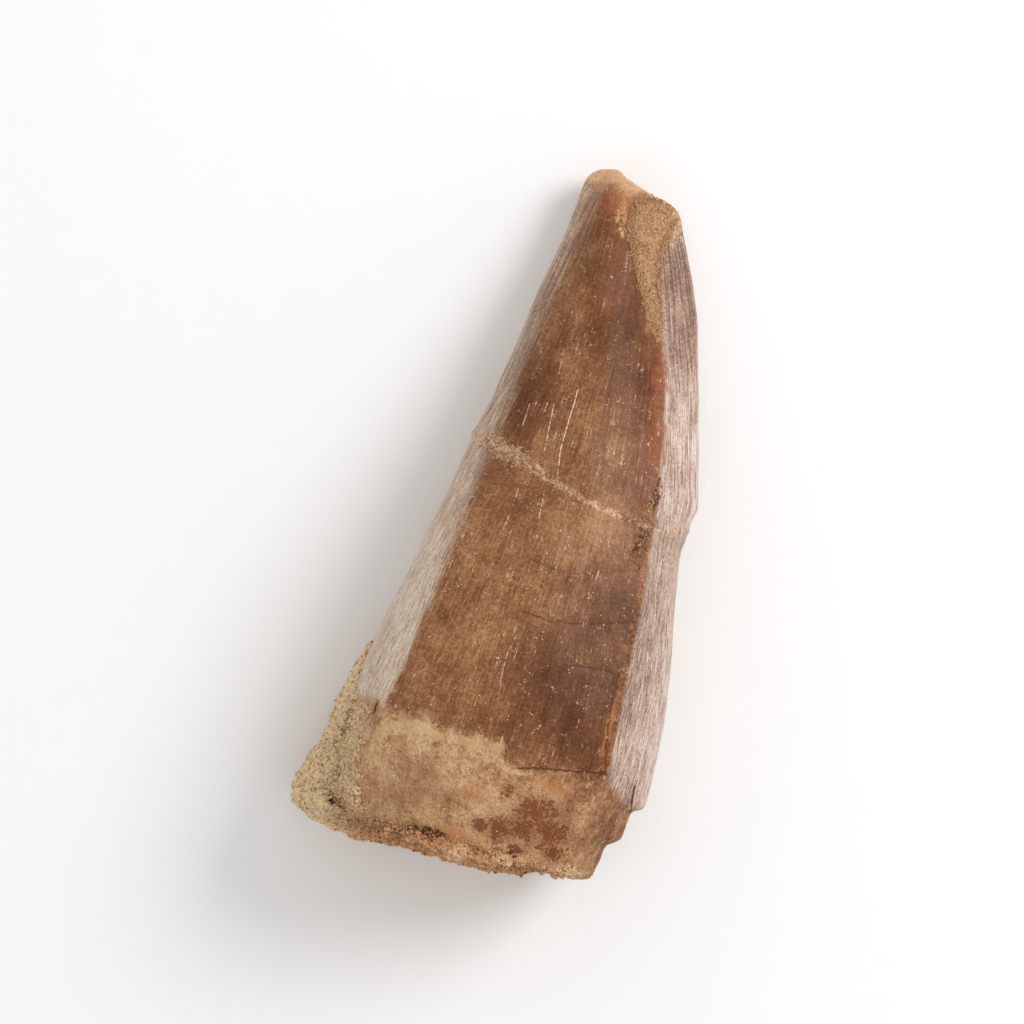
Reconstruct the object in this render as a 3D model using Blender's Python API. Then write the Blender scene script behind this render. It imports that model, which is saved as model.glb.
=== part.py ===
"""Fossil mosasaur tooth, lying on its rounded inner side with its flat outer face up.

The crown curves a little to the left. A sharp cutting edge, the carina, runs down its right,
and a blunter facet edge down its left. The root is broken off short, sandy matrix sticks to its
lower left and to its broken end, and a crust of the same sand fills a chip beside the worn tip.

Sizes are in millimetres until a point is placed. Y runs from the base (0) to the tip (62),
X to the right and Z up from the surface that the tooth lies on. A curve along the tooth is a
short list of (y, value) keys.
"""
import math

import bmesh
import bpy
from mathutils import Vector, noise

# Overall sizes.
LENGTH = 62.0
MM = 0.001
GAP = 0.3

# Outline from above, x at each y: the widest points, the facet edge and the carina.
LEFT_SIDE = [
    (2, -12.3), (17, -11.2), (23, -10.0), (33, -8.2), (45, -6.1), (50, -5.5), (56, -4.5), (62, -4.0),
]
RIGHT_SIDE = [
    (2.0, 11.8), (4.0, 12.5), (5.6, 12.5), (6.1, 14.0), (8.9, 14.1), (9.4, 15.1), (15.5, 14.8),
    (20, 14.4), (24, 13.6), (28.5, 12.7), (31, 12.3), (34.2, 12.3), (34.8, 12.7), (38, 12.0),
    (43.5, 10.6), (50.5, 8.65), (56.8, 6.0), (60.5, 4.2),
]
FACET_EDGE = [(2, -9.2), (12.8, -8.8), (16, -8.0), (27.6, -6.8), (35, -6.0), (43, -5.0), (61, -3.0)]
CARINA = [
    (2, 10.8), (12.6, 11.0), (18, 10.6), (26.6, 10.0), (35.3, 9.1), (43.8, 7.4), (50, 5.3), (57, 3.1),
    (61, 2.4),
]

# How far the steep sides bulge: up from the widest level, and out and down from the edge above.
BULGE_LOW = 0.45
BULGE_OUT = 0.45
BULGE_HIGH = 0.30

# Heights: the crest of the front face, how far both edges lie below it, and the widest level.
CREST = [(2, 19.4), (8, 20.3), (14, 20.2), (24, 18.6), (35, 15.9), (45, 12.9), (53, 10.2), (61, 7.2)]
FACET_DROP = [(2, 2.3), (12, 1.9), (24, 1.7), (35, 2.0), (45, 2.6), (61, 2.7)]
CARINA_DROP = [(2, 3.6), (12, 2.5), (24, 2.2), (45, 2.4), (61, 2.3)]
WAIST = [(2, 8.6), (20, 8.6), (35, 7.3), (50, 5.2), (61, 3.6)]

# The sole is the strip underneath: flat on the ground near the base and the tip, arched between.
SOLE_LEFT = [(2, -4.2), (16, -3.6), (35, -2.0), (50, -1.4), (61, -1.0)]
SOLE_RIGHT = [(2, 5.4), (16, 5.8), (35, 4.6), (50, 3.0), (61, 1.9)]
SOLE_ARCH = [(17, 0.0), (28, 0.7), (38, 1.0), (48, 0.6), (54, 0.0)]

# The keel of the carina stands proud of the face beside it, and fades on the root.
KEEL = [(8, 0.0), (14, 0.35), (48, 0.35), (54, 0.0)]
KEEL_REACH = 0.45

# Slant of the cross sections: the glued break and the worn tip both run down to the right.
SLANT = [(4, 0.0), (12, 0.0), (28, -0.15), (34.5, -0.22), (42, -0.15), (52, -0.10), (61, -0.15)]
SLANT_MIDDLE = 1.5

# The glued break: the upper part stands a little proud of the lower.
BREAK_AT = 34.5
BREAK_STEP = 0.14
BREAK_FADE = 7.0

# Unevenness of the skin: height and spacing of the swells, on the crown and on the root.
CROWN_SWELL = 0.10
ROOT_SWELL = 0.30
SWELL_SPACING = 4.5
SWELL_LAYERS = 3
ROOT_TOP = 11.5
ROOT_BLEND = 2.0

# Faces around each of the six stretches of a cross section.
SOLE_FACES = 6
FLANK_FACES = 7
RIGHT_FACES = 9
FRONT_FACES = 20
BEVEL_FACES = 8

# Sections along the tooth: base and tip of the full sections, and the spacing between.
BASE_END = 2.7
TIP_START = 59.35
SECTION_SPACING = 1.45
LEDGES = [5.6, 6.1, 8.9, 9.4, 34.35, 34.65]
LEDGE_CLEARANCE = 0.7

# Ends of the tooth: how far each smaller ring lies from the last full section, and its scale.
BROKEN_END = [(-0.45, 0.93), (-0.35, 0.72), (-0.15, 0.48), (0.1, 0.22)]
WORN_TIP = [(0.6, 0.95), (1.15, 0.84), (1.55, 0.66), (1.8, 0.42), (1.88, 0.16)]
TIP_MIDDLE = -0.8
BROKEN_RELIEF = 0.35
BROKEN_RELIEF_SPACING = 2.0

# The lump of matrix on the lower left of the root, from the ground up to the facet edge.
LUMP_LEFT = [
    (0.1, -12.9), (1.2, -14.2), (2.8, -15.2), (4.7, -14.6), (7.7, -13.7), (14.3, -12.5), (17.4, -11.3),
]
LUMP_TOP = [
    (0.1, 13.0), (1.4, 16.0), (3.0, 17.3), (11.0, 17.7), (13.5, 15.5), (16.0, 11.5), (17.4, 8.8),
]
LUMP_RIDGE = [(0.1, -8.6), (11.0, -9.1), (14.5, -9.9), (17.4, -10.7)]
LUMP_INNER = -3.0
LUMP_SLOPE = 0.16

# Corners of the lump's section: the upright line it hangs on, its shift to the right of that
# line, and its share of the height.
LUMP_PROFILE = [
    ("left", 0.7, 0.0), ("left", 0.0, 0.22), ("slope", 0.0, 0.60), ("ridge", -0.35, 0.97),
    ("ridge", 1.6, 0.95), ("inner", 0.0, 0.60), ("inner", 0.0, 0.25), ("inner", -0.8, 0.0),
]

# Ends and roughness of the lump.
LUMP_START = 0.5
LUMP_END = 17.1
LUMP_SECTIONS = 18
LUMP_ENDS = [(-0.5, 0.45), (-0.42, 0.75), (-0.2, 0.93)]
LUMP_FACES = 44
LUMP_SWELL = 0.55
LUMP_SWELL_SPACING = 2.6

# The crust of matrix on the broken end: rings from the outside in, as (y, scale).
CRUST_RINGS = [(0.7, 0.25), (0.65, 0.55), (0.6, 0.8), (0.8, 0.9), (1.4, 0.945), (3.4, 0.945)]
CRUST_WIDTH = 0.9
CRUST_RISE = 0.02
CRUST_RISE_FROM = 2.0
CRUST_SWELL = 0.35
CRUST_SWELL_SPACING = 3.0

# The crust of sand in the chip beside the tip: its middle line and half width at each y.
TIP_SAND_MIDDLE = [(49.6, 4.9), (51.3, 4.3), (53.2, 3.3), (55.4, 2.6), (57.5, 2.1), (60.0, 2.4)]
TIP_SAND_HALF_WIDTH = [(49.6, 0.25), (51.5, 0.6), (54.5, 0.8), (57.5, 1.7), (59.3, 1.9), (60.3, 1.2)]
TIP_SAND_THICKNESS = [(49.6, 0.25), (52, 0.55), (58, 0.75), (60.3, 0.6)]
TIP_SAND_SECTIONS = 12
TIP_SAND_FACES = 16
TIP_SAND_SINK = 0.15
TIP_SAND_TILT = math.radians(-20)
TIP_SAND_SWELL = 0.16
TIP_SAND_SWELL_SPACING = 1.1

# Finishes: colour and roughness, and the angle from which an edge shows as sharp.
ENAMEL = ("enamel", (0.27, 0.13, 0.06), 0.35)
MATRIX_SAND = ("matrix_sand", (0.46, 0.31, 0.16), 0.95)
TIP_SAND = ("tip_sand", (0.52, 0.33, 0.15), 0.95)
ENAMEL_SHARP = math.radians(32)
SAND_SHARP = math.radians(50)


def along(keys, y):
    """Value at y of a smooth curve through the (y, value) keys, which never overshoots them."""
    if y <= keys[0][0]:
        return keys[0][1]
    if y >= keys[-1][0]:
        return keys[-1][1]
    index = next(i for i in range(len(keys) - 1) if y <= keys[i + 1][0])
    rises = [(b[1] - a[1]) / (b[0] - a[0]) for a, b in zip(keys, keys[1:])]
    joints = [joint_slope(a, b) for a, b in zip(rises, rises[1:])]
    slopes = [rises[0], *joints, rises[-1]]
    run = keys[index + 1][0] - keys[index][0]
    t = (y - keys[index][0]) / run
    start, end = keys[index][1], keys[index + 1][1]
    return (
        (2 * t ** 3 - 3 * t ** 2 + 1) * start
        + (t ** 3 - 2 * t ** 2 + t) * run * slopes[index]
        + (3 * t ** 2 - 2 * t ** 3) * end
        + (t ** 3 - t ** 2) * run * slopes[index + 1]
    )


def joint_slope(before, after):
    """Slope where two stretches meet: level at a turn, else their harmonic mean."""
    if before * after <= 0:
        return 0.0
    return 2 * before * after / (before + after)


def bezier(points, t):
    """Point of a cubic curve with four control points."""
    a, b, c, d = (Vector(p) for p in points)
    s = 1 - t
    return a * s ** 3 + b * (3 * s * s * t) + c * (3 * s * t * t) + d * t ** 3


def flank(sole, widest, count, rising):
    """Rounded lower side between the end of the sole and the widest point."""
    points = []
    for i in range(count):
        turn = math.pi / 2 * (i / count if rising else 1 - i / count)
        x = sole.x + (widest.x - sole.x) * math.sin(turn)
        z = widest.y + (sole.y - widest.y) * math.cos(turn)
        points.append(Vector((x, z)))
    return points


def steep_side(widest, edge, count, rising):
    """Steep upper side between the widest point and the edge of the front face."""
    rise = edge.y - widest.y
    controls = [
        widest,
        (widest.x, widest.y + BULGE_LOW * rise),
        (edge.x + BULGE_OUT * (widest.x - edge.x), edge.y - BULGE_HIGH * rise),
        edge,
    ]
    return [bezier(controls, i / count if rising else 1 - i / count) for i in range(count)]


def front_face(carina, facet, crest, keel, count):
    """Slightly rounded front face, from the carina on the right to the facet edge."""
    points = []
    for i in range(count):
        even = i / count
        u = 0.5 * even + 0.25 * (1 - math.cos(math.pi * even))
        x = carina.x + (facet.x - carina.x) * u
        middle = 2 * crest - (carina.y + facet.y) / 2
        z = (1 - u) ** 2 * carina.y + 2 * u * (1 - u) * middle + u * u * facet.y
        ridge = keel * math.exp(-((carina.x - x) / KEEL_REACH) ** 2)
        points.append(Vector((x, z + ridge)))
    return points


def section(y):
    """Closed cross section at y as (x, z) points, from the left of the sole to the right and round."""
    sole = along(SOLE_ARCH, y)
    crest = along(CREST, y)
    waist = along(WAIST, y)
    sole_left = Vector((along(SOLE_LEFT, y), sole))
    sole_right = Vector((along(SOLE_RIGHT, y), sole))
    left = Vector((along(LEFT_SIDE, y), waist))
    right = Vector((along(RIGHT_SIDE, y), waist))
    facet = Vector((along(FACET_EDGE, y), crest - along(FACET_DROP, y)))
    carina = Vector((along(CARINA, y), crest - along(CARINA_DROP, y)))
    points = [sole_left.lerp(sole_right, i / SOLE_FACES) for i in range(SOLE_FACES)]
    points += flank(sole_right, right, FLANK_FACES, rising=True)
    points += steep_side(right, carina, RIGHT_FACES, rising=True)
    points += front_face(carina, facet, crest, along(KEEL, y), FRONT_FACES)
    points += steep_side(left, facet, BEVEL_FACES, rising=False)
    points += flank(sole_left, left, FLANK_FACES, rising=False)
    return points


def tooth_ring(at, scale=1.0, grow=0.0, push=0.0, middle_x=None):
    """One ring of points on the skin of the tooth, on a section slanted as the break is.

    A scale below 1 draws the ring in towards its middle, or towards middle_x where it is
    given, grow moves it outwards by that much, and push shifts it along the tooth.
    """
    flat = section(at)
    slant = along(SLANT, at)
    points = []
    for index, guess in enumerate(flat):
        y = at + slant * (guess.x - SLANT_MIDDLE)
        spot = section(y)[index]
        points.append(Vector((spot.x, y, spot.y)))
    middle = sum(points, Vector()) / len(points)
    if middle_x is not None:
        middle.x = middle_x
    ring = []
    for index, point in enumerate(points):
        outward = ring_normal(points, index)
        inner = middle + (point - middle) * scale
        inner.y = point.y
        moved = inner + outward * (unevenness(point, scale) + break_lift(at) + grow)
        if not grow:
            moved.z = max(inner.z if index <= SOLE_FACES else moved.z, 0.0)
        moved.y += push
        ring.append(moved)
    return ring


def ring_normal(points, index):
    """Outward direction at one point of a ring, in the plane of its section."""
    before = points[index - 1]
    after = points[(index + 1) % len(points)]
    run = after - before
    return Vector((run.z, 0.0, -run.x)).normalized()


def unevenness(point, scale):
    """Low swells of the skin, stronger on the root and on its broken end."""
    root = min(max((ROOT_TOP - point.y) / ROOT_BLEND, 0.0), 1.0)
    size = CROWN_SWELL + (ROOT_SWELL - CROWN_SWELL) * root
    return size * swells(point, SWELL_SPACING) * scale


def swells(point, spacing):
    """Smooth seeded noise at a point, about -1 to 1, with swells of this spacing."""
    return noise.fractal(point / spacing, 1.0, 2.0, SWELL_LAYERS)


def break_lift(at):
    """How far the part above the glued break stands proud, fading towards the tip."""
    if at < BREAK_AT:
        return 0.0
    return BREAK_STEP * math.exp(-(at - BREAK_AT) / BREAK_FADE)


def section_places():
    """Places of the full sections, evenly spaced with a pair at each ledge."""
    count = round((TIP_START - BASE_END) / SECTION_SPACING)
    even = [BASE_END + (TIP_START - BASE_END) * i / count for i in range(count + 1)]
    kept = [y for y in even if all(abs(y - ledge) > LEDGE_CLEARANCE for ledge in LEDGES)]
    return sorted(kept + LEDGES)


def tooth_rings(grow=0.0):
    """All rings of the tooth from its broken end to its worn tip."""
    rings = []
    for step, scale in reversed(BROKEN_END):
        ring = tooth_ring(BASE_END, scale, grow, step - grow)
        if not grow:
            for point in ring:
                point.y += BROKEN_RELIEF * noise.noise(point / BROKEN_RELIEF_SPACING)
        rings.append(ring)
    rings += [tooth_ring(y, 1.0, grow) for y in section_places()]
    for step, scale in WORN_TIP:
        rings.append(tooth_ring(TIP_START, scale, grow, step + grow, TIP_MIDDLE))
    return rings


def skin_over(name, rings):
    """Closed mesh object: a face on the first ring, extruded from ring to ring."""
    shape = bmesh.new()
    cap = shape.faces.new([shape.verts.new(point) for point in rings[0]])
    first = cap
    for ring in rings[1:]:
        made = bmesh.ops.extrude_face_region(shape, geom=[cap], use_keep_orig=True)["geom"]
        if cap is not first:
            shape.faces.remove(cap)
        cap = next(part for part in made if isinstance(part, bmesh.types.BMFace))
        for vert, point in zip(cap.verts, ring):
            vert.co = point
    bmesh.ops.poke(shape, faces=[first, cap])
    bmesh.ops.recalc_face_normals(shape, faces=shape.faces)
    return as_object(name, shape)


def as_object(name, shape):
    """New object of a bmesh in millimetres, moved so that the tooth is centred on the origin."""
    for vert in shape.verts:
        vert.co = (vert.co - Vector((0.0, LENGTH / 2, 0.0))) * MM
    mesh = bpy.data.meshes.new(name)
    shape.to_mesh(mesh)
    shape.free()
    thing = bpy.data.objects.new(name, mesh)
    bpy.context.scene.collection.objects.link(thing)
    return thing


def as_cutter(thing):
    """Keep an object out of the model, as a shape that only cuts."""
    thing.hide_render = True
    thing.display_type = "WIRE"
    return thing


def boolean(thing, tool, operation):
    """Add a Boolean modifier to an object."""
    step = thing.modifiers.new(f"{operation.lower()} {tool.name}", "BOOLEAN")
    step.operation = operation
    step.object = tool
    return step


def swelled(point, middle, size, spacing):
    """Point moved away from or towards a middle by the rough swells of packed sand."""
    outward = (point - middle).normalized()
    return point + outward * size * swells(point, spacing)


def lump_section(y):
    """Cross section of the lump at y: up its outer slope, over its ridge and down inside the root."""
    left = along(LUMP_LEFT, y)
    ridge = along(LUMP_RIDGE, y)
    top = along(LUMP_TOP, y)
    lines = {
        "left": left, "slope": left + LUMP_SLOPE * (ridge - left), "ridge": ridge, "inner": LUMP_INNER,
    }
    corners = [(lines[line] + shift, share * top) for line, shift, share in LUMP_PROFILE]
    return [rounded(corners, i / LUMP_FACES) for i in range(LUMP_FACES)]


def rounded(corners, t):
    """Point of a closed curve that passes near each corner in turn, at t from 0 to 1."""
    place = t * len(corners)
    index = int(place)
    part = place - index
    a, b, c = (Vector(corners[(index + k) % len(corners)]) for k in range(3))
    start = a.lerp(b, 0.5)
    end = b.lerp(c, 0.5)
    return start * (1 - part) ** 2 + b * 2 * part * (1 - part) + end * part ** 2


def lump_ring(y, scale=1.0, push=0.0):
    """Ring of the matrix lump at y, rough all over and flat where it meets the ground."""
    flat = lump_section(y)
    middle = sum((Vector((p.x, y, p.y)) for p in flat), Vector()) / len(flat)
    ring = []
    for spot in flat:
        point = swelled(Vector((spot.x, y, spot.y)), middle, LUMP_SWELL, LUMP_SWELL_SPACING)
        point = middle + (point - middle) * scale
        point.y += push
        point.z = max(point.z, 0.0)
        ring.append(point)
    return ring


def lump_rings():
    """Rings of the matrix lump, with its broken end rounded off."""
    rings = [lump_ring(LUMP_START, scale, push) for push, scale in LUMP_ENDS]
    for step in range(LUMP_SECTIONS + 1):
        rings.append(lump_ring(LUMP_START + (LUMP_END - LUMP_START) * step / LUMP_SECTIONS))
    return rings


def crust_rings():
    """Rings of the crust that covers the broken end, in the shape of the root's own section."""
    rings = []
    for y, scale in CRUST_RINGS:
        ring = tooth_ring(BASE_END, scale)
        middle = sum(ring, Vector()) / len(ring)
        for point in ring:
            point.x = middle.x + (point.x - middle.x) * CRUST_WIDTH
            rise = CRUST_RISE * max(point.x - CRUST_RISE_FROM, 0.0) ** 2
            bump = CRUST_SWELL * swells(point, CRUST_SWELL_SPACING)
            point.y = min(y + (rise + bump if y < BASE_END else 0.0), CRUST_RINGS[-1][0])
        rings.append(ring)
    return rings


def face_height(x, y):
    """Height of the upper skin of the tooth above (x, y)."""
    first = SOLE_FACES + FLANK_FACES
    upper = section(y)[first:first + RIGHT_FACES + FRONT_FACES + BEVEL_FACES]
    for a, b in zip(upper, upper[1:]):
        if b.x <= x < a.x:
            return a.y + (b.y - a.y) * (a.x - x) / (a.x - b.x)
    return upper[0].y


def tip_sand_rings(grow=0.0):
    """Rings of the sand crust in the chip, flattened ellipses that lean over the carina."""
    start, end = TIP_SAND_MIDDLE[0][0], TIP_SAND_MIDDLE[-1][0]
    rings = []
    for step in range(TIP_SAND_SECTIONS + 1):
        y = start + (end - start) * step / TIP_SAND_SECTIONS
        x = along(TIP_SAND_MIDDLE, y)
        middle = Vector((x, y, face_height(x, y) - TIP_SAND_SINK))
        half = along(TIP_SAND_HALF_WIDTH, y)
        thick = along(TIP_SAND_THICKNESS, y)
        ring = []
        for i in range(TIP_SAND_FACES):
            turn = 2 * math.pi * i / TIP_SAND_FACES
            across = half * math.cos(turn)
            up = thick * math.sin(turn)
            point = middle + Vector((
                across * math.cos(TIP_SAND_TILT) - up * math.sin(TIP_SAND_TILT),
                0.0,
                across * math.sin(TIP_SAND_TILT) + up * math.cos(TIP_SAND_TILT),
            ))
            point = swelled(point, middle, TIP_SAND_SWELL, TIP_SAND_SWELL_SPACING)
            point += (point - middle).normalized() * grow
            ring.append(point)
        rings.append(ring)
    for ring, shift in ((rings[0], -grow), (rings[-1], grow)):
        for point in ring:
            point.y += shift
    return rings


def material(name, colour, roughness):
    """Plain material of one finish."""
    finish = bpy.data.materials.new(name)
    finish.use_nodes = True
    shader = finish.node_tree.nodes["Principled BSDF"]
    shader.inputs["Base Color"].default_value = (*colour, 1.0)
    shader.inputs["Roughness"].default_value = roughness
    shader.inputs["Metallic"].default_value = 0.0
    return finish


def finish_object(thing, finish, sharp):
    """Give an object its material and smooth shading, with edges over the sharp angle kept."""
    thing.data.materials.append(material(*finish))
    thing.data.shade_smooth()
    thing.data.set_sharp_from_angle(angle=sharp)


def build_tooth():
    """Crown and root stub in one piece, chipped beside the tip."""
    tooth = skin_over("tooth", tooth_rings())
    finish_object(tooth, ENAMEL, ENAMEL_SHARP)
    chip = as_cutter(skin_over("tip_chip", tip_sand_rings(grow=GAP)))
    boolean(tooth, chip, "DIFFERENCE")
    return tooth


def build_base_matrix():
    """Lump at the lower left of the root, in one piece with the crust on the broken end."""
    matrix = skin_over("base_matrix", lump_rings())
    finish_object(matrix, MATRIX_SAND, SAND_SHARP)
    crust = as_cutter(skin_over("end_crust", crust_rings()))
    root = as_cutter(skin_over("root_room", tooth_rings(grow=GAP)))
    boolean(matrix, crust, "UNION")
    boolean(matrix, root, "DIFFERENCE")
    return matrix


def build_tip_matrix():
    """Crust of sand that fills the chip beside the worn tip."""
    crust = skin_over("tip_matrix", tip_sand_rings())
    finish_object(crust, TIP_SAND, SAND_SHARP)
    return crust


def main():
    """Clear the scene and model the three pieces."""
    for thing in list(bpy.data.objects):
        bpy.data.objects.remove(thing, do_unlink=True)
    build_tooth()
    build_base_matrix()
    build_tip_matrix()


main()
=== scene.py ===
"""Looks of the fossil mosasaur tooth: fine surfaces, finishes, floor, light and camera.

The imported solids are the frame. Each of the three pieces, the tooth, the sand at its base and
the sand at its tip, gets a finely shaped skin that stands for its solid, and loose sand grains
are set on the sand.

Fields hold millimetres, as measured on the tooth itself: x to the right from its middle, y from
the broken base to the tip and z up from the floor. Marks are placed by these measures.
"""

import logging
import math
import random
from dataclasses import dataclass, field
from enum import Enum
from functools import reduce

import bpy
import numpy as np
from mathutils import Matrix, Vector, noise
from mathutils.bvhtree import BVHTree


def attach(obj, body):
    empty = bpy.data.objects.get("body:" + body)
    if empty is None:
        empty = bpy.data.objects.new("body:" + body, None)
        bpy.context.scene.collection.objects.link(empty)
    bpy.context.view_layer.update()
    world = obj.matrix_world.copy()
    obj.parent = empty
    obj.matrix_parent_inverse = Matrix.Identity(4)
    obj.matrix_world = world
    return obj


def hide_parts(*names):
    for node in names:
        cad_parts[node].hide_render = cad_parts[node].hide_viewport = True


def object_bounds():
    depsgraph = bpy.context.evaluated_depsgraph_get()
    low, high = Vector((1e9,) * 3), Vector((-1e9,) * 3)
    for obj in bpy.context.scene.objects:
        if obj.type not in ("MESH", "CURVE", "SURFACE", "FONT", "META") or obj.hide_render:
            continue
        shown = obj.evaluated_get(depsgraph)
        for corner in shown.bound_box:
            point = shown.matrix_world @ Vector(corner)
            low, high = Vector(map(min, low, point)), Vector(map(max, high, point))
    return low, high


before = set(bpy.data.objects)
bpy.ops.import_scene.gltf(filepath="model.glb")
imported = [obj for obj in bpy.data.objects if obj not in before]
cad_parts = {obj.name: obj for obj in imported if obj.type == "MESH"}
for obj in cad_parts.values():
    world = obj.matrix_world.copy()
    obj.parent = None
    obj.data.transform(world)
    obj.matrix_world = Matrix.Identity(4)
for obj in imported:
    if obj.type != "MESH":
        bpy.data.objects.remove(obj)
solid_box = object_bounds()

MM = 0.001
# White sheen over every surface, strength of the light and darkest colour, in linear values.
SHEEN = 0.010
LIGHT = 1.06
DARKEST = 0.003
# A distance in millimetres that means nowhere near, and a height in metres that means no ground.
FAR = 9.0
NO_GROUND = 1.0
LOG = logging.getLogger("tooth")

Colour = tuple[float, float, float]
Pair = tuple[float, float]
Curve = tuple[Pair, ...]
Socket = bpy.types.NodeSocket
Piece = bpy.types.Object
Array = np.ndarray


def srgb(red: float, green: float, blue: float) -> Colour:
    """Surface colour, less the sheen, of a shade as it is seen in the studio, from 0 to 255."""
    seen = [((value / 255 + 0.055) / 1.055) ** 2.4 for value in (red, green, blue)]
    return tuple(max(value - SHEEN, DARKEST) / LIGHT for value in seen)


def smooth_step(values: Array, low: float, high: float) -> Array:
    """Soft step from 0 where the values reach low to 1 at high, which may lie below low."""
    part = np.clip((values - low) / (high - low), 0.0, 1.0)
    return part * part * (3 - 2 * part)


def along(keys: Curve, places: Array) -> Array:
    """Value at each place of the broken line through the (place, value) keys."""
    return np.interp(places, *zip(*keys))


def noise_at(points: Array, spacing: float, octaves: int = 1, seed: float = 0.0) -> Array:
    """Noise from about -1 to 1 at rows of x, y, z, in swells of this spacing and finer octaves."""
    one = noise.noise if octaves == 1 else lambda spot: noise.fractal(spot, 1.0, 2.0, octaves)
    return np.array([one(Vector(spot)) for spot in points / spacing + seed])


@dataclass(frozen=True)
class Patch:
    """A soft oval mark on the upper side of the tooth."""

    x: float
    y: float
    across: float
    length: float
    turn: float = 0.0

    def strength(self, x: Array, y: Array) -> Array:
        """Strength of the mark, 1 in its middle, one half at its edge and 0 well outside.

        Args:
            x: places across the tooth.
            y: places along the tooth.

        Returns:
            One strength for each place.
        """
        angle = math.radians(self.turn)
        dx, dy = x - self.x, y - self.y
        u = (dx * math.cos(angle) + dy * math.sin(angle)) / self.across
        v = (dy * math.cos(angle) - dx * math.sin(angle)) / self.length
        reach = np.sqrt(u * u + v * v)
        return np.clip(1.0 - 0.5 * reach, 0.0, 1.0)


def strongest(patches: tuple[Patch, ...], x: Array, y: Array) -> Array:
    """Strength at each place of the patch that is strongest there."""
    return np.max([np.zeros(len(x)), *(patch.strength(x, y) for patch in patches)], axis=0)


@dataclass(frozen=True)
class Streak:
    """A thin line on the upper side of the tooth, through a few points."""

    points: Curve
    force: float = 1.0
    fade: float = 0.35

    def nearest(self, x: Array, y: Array) -> tuple[Array, Array]:
        """How far each place lies from the line.

        Args:
            x: places across the tooth.
            y: places along the tooth.

        Returns:
            The distance, negative on the line's left side, and the line's force there,
            which fades past its ends.
        """
        gap, past = np.full(x.shape, FAR), np.full(x.shape, FAR)
        for (x0, y0), (x1, y1) in zip(self.points, self.points[1:]):
            run = math.hypot(x1 - x0, y1 - y0)
            ux, uy = (x1 - x0) / run, (y1 - y0) / run
            down = (x - x0) * ux + (y - y0) * uy
            side = (x - x0) * uy - (y - y0) * ux
            over = np.maximum(np.maximum(-down, down - run), 0.0)
            closer = over + np.abs(side) < past + np.abs(gap)
            gap = np.where(closer, side, gap)
            past = np.where(closer, over, past)
        return gap, self.force * np.clip(1.0 - past / self.fade, 0.0, 1.0)


class Mark(Enum):
    """Names of the values that the tooth's skin carries for its finish."""

    FLOW = "flow"
    FRONT = "front"
    CARINA = "carina"
    ROOT = "root"
    MEND = "mend"
    MEND_FORCE = "mend_force"
    CRACK = "crack"
    CRACK_FORCE = "crack_force"
    SCRATCH = "scratch"
    SCRATCH_FORCE = "scratch_force"
    BLOTCH = "blotch"
    CLOUD = "cloud"
    OCHRE = "ochre"
    RUST = "rust"
    PALE = "pale"
    # Darker patches: partly darker colour of the tooth, partly painted shade.
    DARK = "dark"
    TIP = "tip"
    SANDY = "sandy"
    PIT = "pit"
    # Painted shade on patches of the tooth's sides.
    SHADE = "shade"
    BRIGHT = "bright"
    TONE = "tone"


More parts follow.
